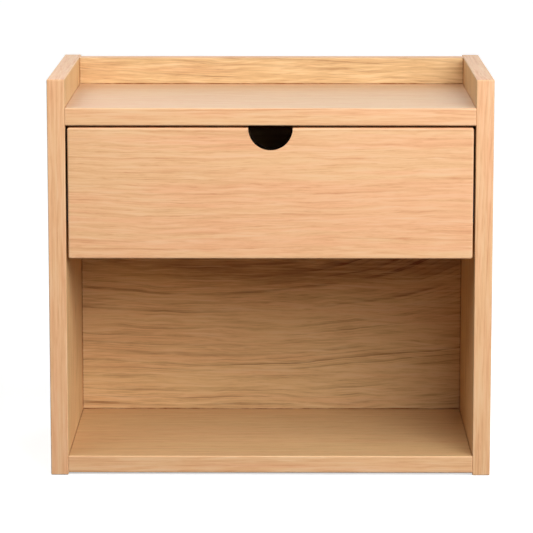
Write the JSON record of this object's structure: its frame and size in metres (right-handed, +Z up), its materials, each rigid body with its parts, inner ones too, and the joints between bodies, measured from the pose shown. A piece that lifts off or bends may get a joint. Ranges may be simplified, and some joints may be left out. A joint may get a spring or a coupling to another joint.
{
  "type": "nightstand",
  "caption": "Small wooden bedside cabinet: an inset drawer with a half-round finger notch over an open niche, raised sides and back round the top, holes for hanging on a wall.",
  "frame": {"origin": "under the middle of the cabinet, at the height of the side boards' lower ends", "axes": "+X to the right as seen from the front, +Y to the back, +Z up; the front faces -Y"},
  "size_m": [0.4, 0.23, 0.362],
  "materials": {
    "oak_veneer": "satin lacquered oak veneer on board",
    "rail_board": "plain sanded softwood",
    "drawer_board": "satin lacquered birch veneer on board",
    "drawer_base": "thin birch plywood",
    "beech": "fluted beech dowel",
    "zinc_steel": "bright zinc-plated folded steel",
    "screw_steel": "zinc-plated screw steel",
    "cam_zinc": "die-cast zinc",
    "bearing_steel": "polished ball steel",
    "black_plastic": "moulded black plastic"
  },
  "bodies": {
    "carcass": {"left_side": "oak_veneer", "right_side": "oak_veneer", "top_shelf": "oak_veneer", "bottom_shelf": "oak_veneer", "back_panel": "oak_veneer", "hanging_rail": "rail_board", "carcass_dowels": "beech", "cam_bolts": "screw_steel", "cams": "cam_zinc", "rail_screws": "screw_steel", "runner_left_cabinet_member": "zinc_steel", "runner_right_cabinet_member": "zinc_steel", "runner_left_buffer": "black_plastic", "runner_right_buffer": "black_plastic", "cabinet_runner_screws": "screw_steel"},
    "drawer": {"drawer_face": "oak_veneer", "drawer_inner_front": "drawer_board", "drawer_left_wall": "drawer_board", "drawer_right_wall": "drawer_board", "drawer_back_wall": "drawer_board", "drawer_bottom": "drawer_base", "drawer_dowels": "beech", "face_screws": "screw_steel", "runner_left_drawer_member": "zinc_steel", "runner_right_drawer_member": "zinc_steel", "drawer_runner_screws": "screw_steel"},
    "left_middle_member": {"runner_left_middle_member": "zinc_steel"},
    "left_outer_row": {"runner_left_outer_balls": "bearing_steel", "runner_left_outer_cage": "zinc_steel"},
    "left_inner_row": {"runner_left_inner_balls": "bearing_steel", "runner_left_inner_cage": "zinc_steel"},
    "right_middle_member": {"runner_right_middle_member": "zinc_steel"},
    "right_outer_row": {"runner_right_outer_balls": "bearing_steel", "runner_right_outer_cage": "zinc_steel"},
    "right_inner_row": {"runner_right_inner_balls": "bearing_steel", "runner_right_inner_cage": "zinc_steel"}
  },
  "joints": [
    {"name": "drawer_slide", "type": "slide", "parent": "carcass", "child": "drawer", "axis": [0, -1, 0], "range_m": [0, 0.145]},
    {"name": "left_middle_member_slide", "type": "slide", "parent": "carcass", "child": "left_middle_member", "axis": [0, -1, 0], "range_m": [0, 0.0725]},
    {"name": "left_outer_row_slide", "type": "slide", "parent": "carcass", "child": "left_outer_row", "axis": [0, -1, 0], "range_m": [0, 0.03625]},
    {"name": "left_inner_row_slide", "type": "slide", "parent": "carcass", "child": "left_inner_row", "axis": [0, -1, 0], "range_m": [0, 0.10875]},
    {"name": "right_middle_member_slide", "type": "slide", "parent": "carcass", "child": "right_middle_member", "axis": [0, -1, 0], "range_m": [0, 0.0725]},
    {"name": "right_outer_row_slide", "type": "slide", "parent": "carcass", "child": "right_outer_row", "axis": [0, -1, 0], "range_m": [0, 0.03625]},
    {"name": "right_inner_row_slide", "type": "slide", "parent": "carcass", "child": "right_inner_row", "axis": [0, -1, 0], "range_m": [0, 0.10875]}
  ],
  "couplings": [
    {"joint": "left_middle_member_slide", "follows": "drawer_slide", "ratio": 0.5},
    {"joint": "left_outer_row_slide", "follows": "drawer_slide", "ratio": 0.25},
    {"joint": "left_inner_row_slide", "follows": "drawer_slide", "ratio": 0.75},
    {"joint": "right_middle_member_slide", "follows": "drawer_slide", "ratio": 0.5},
    {"joint": "right_outer_row_slide", "follows": "drawer_slide", "ratio": 0.25},
    {"joint": "right_inner_row_slide", "follows": "drawer_slide", "ratio": 0.75}
  ]
}
